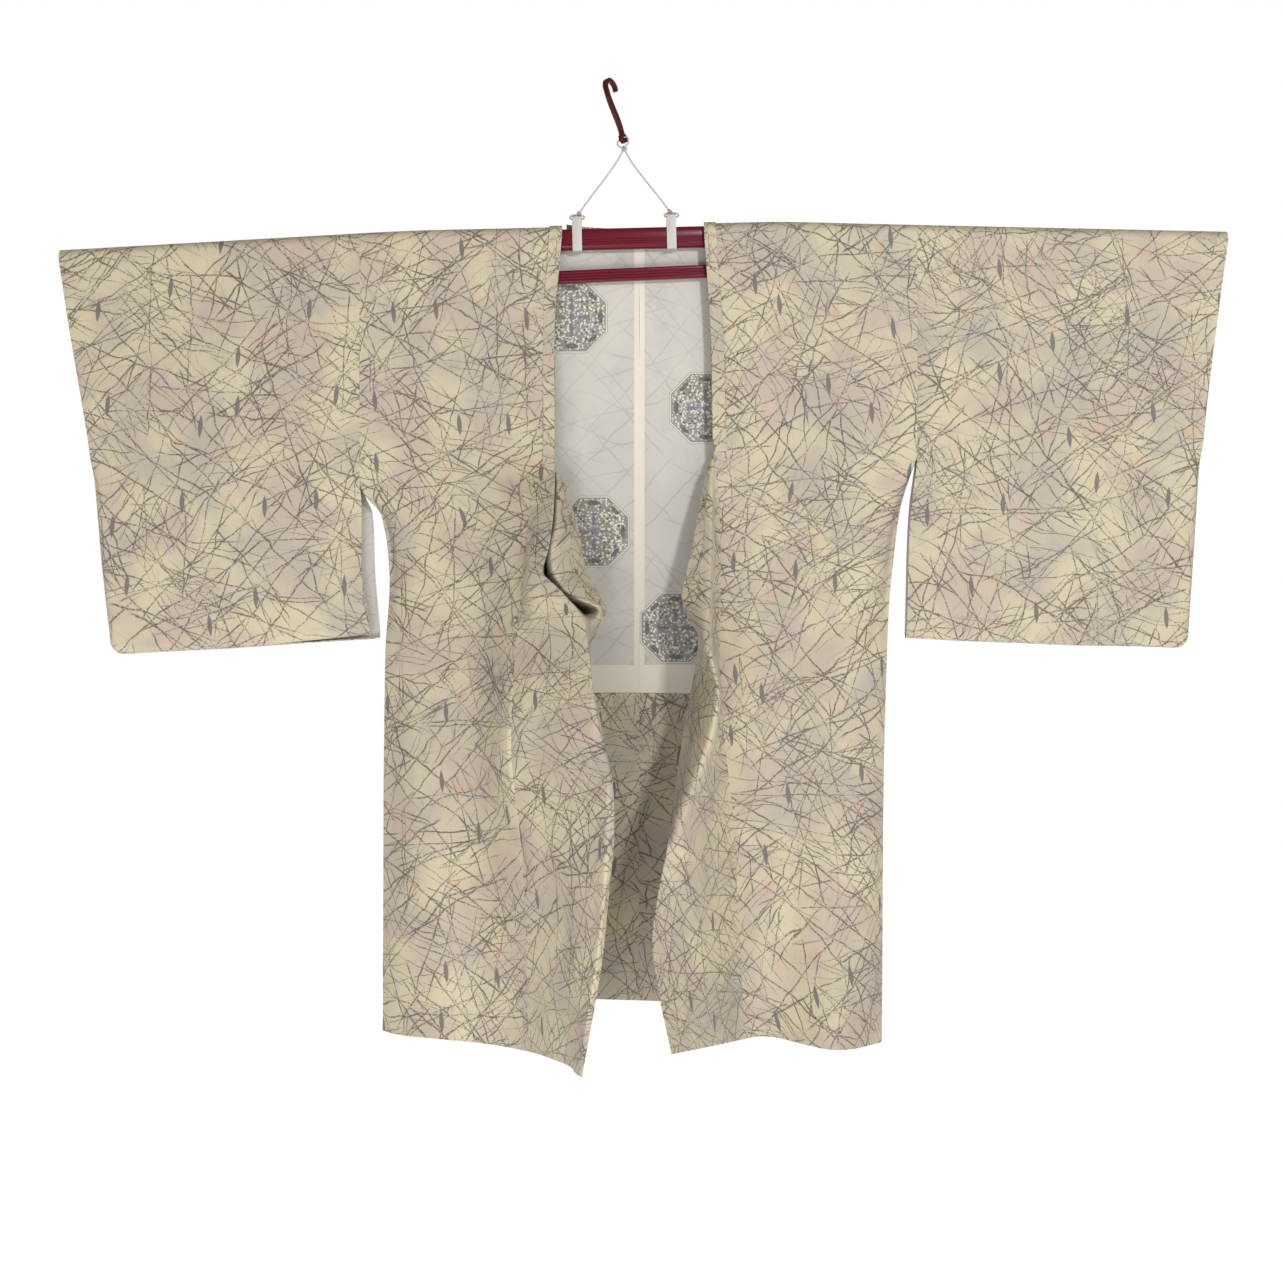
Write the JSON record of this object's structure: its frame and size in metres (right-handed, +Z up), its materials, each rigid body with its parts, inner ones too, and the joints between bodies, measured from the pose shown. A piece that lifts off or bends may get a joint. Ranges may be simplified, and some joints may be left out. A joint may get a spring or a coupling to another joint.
{
  "type": "michiyuki coat on a hanger",
  "caption": "Open-fronted michiyuki coat of printed silk with a square neck and lined body, hanging on a telescopic kimono hanger with a hook.",
  "frame": {"origin": "the point where the hanger's hook bears on the rail it hangs from, inside the top of its bend", "axes": "+Z up; -Y the way the coat's front faces; +X towards the coat's left sleeve as worn, which is on the right when the front is looked at"},
  "size_m": [1.3041, 0.255, 1.0796],
  "materials": {
    "silk": "matte silk with a soft sheen, printed all over with a broken network of dark lines on a mottled cream and beige ground",
    "lining": "plain pale silk with woven octagon medallions",
    "hanger": "glossy maroon",
    "strap": "white",
    "cord": "white cord",
    "snap": "dull metal"
  },
  "bodies": {
    "root": {"front_left": "silk", "front_right": "silk", "overlap_left": "silk", "overlap_right": "silk", "back_left": "silk", "back_right": "silk", "shoulder_left_front": "silk", "shoulder_left_back": "silk", "shoulder_right_front": "silk", "shoulder_right_back": "silk", "sleeve_left_front": "silk", "sleeve_left_back": "silk", "sleeve_right_front": "silk", "sleeve_right_back": "silk", "collar_left": "silk", "collar_right": "silk", "collar_top_left": "silk", "collar_top_right": "silk", "collar_back": "silk", "lining_left": "lining", "lining_right": "lining", "lining_sleeve": "lining", "snap_1": "snap", "snap_2": "snap", "snap_3": "snap", "stud_1": "snap", "stud_2": "snap", "stud_3": "snap", "hook": "hanger", "cord": "cord", "strap_1": "strap", "strap_2": "strap", "tube": "hanger", "arm_left": "hanger", "arm_right": "hanger", "lower_bar": "hanger", "post_1": "hanger", "post_2": "hanger"}
  },
  "joints": []
}
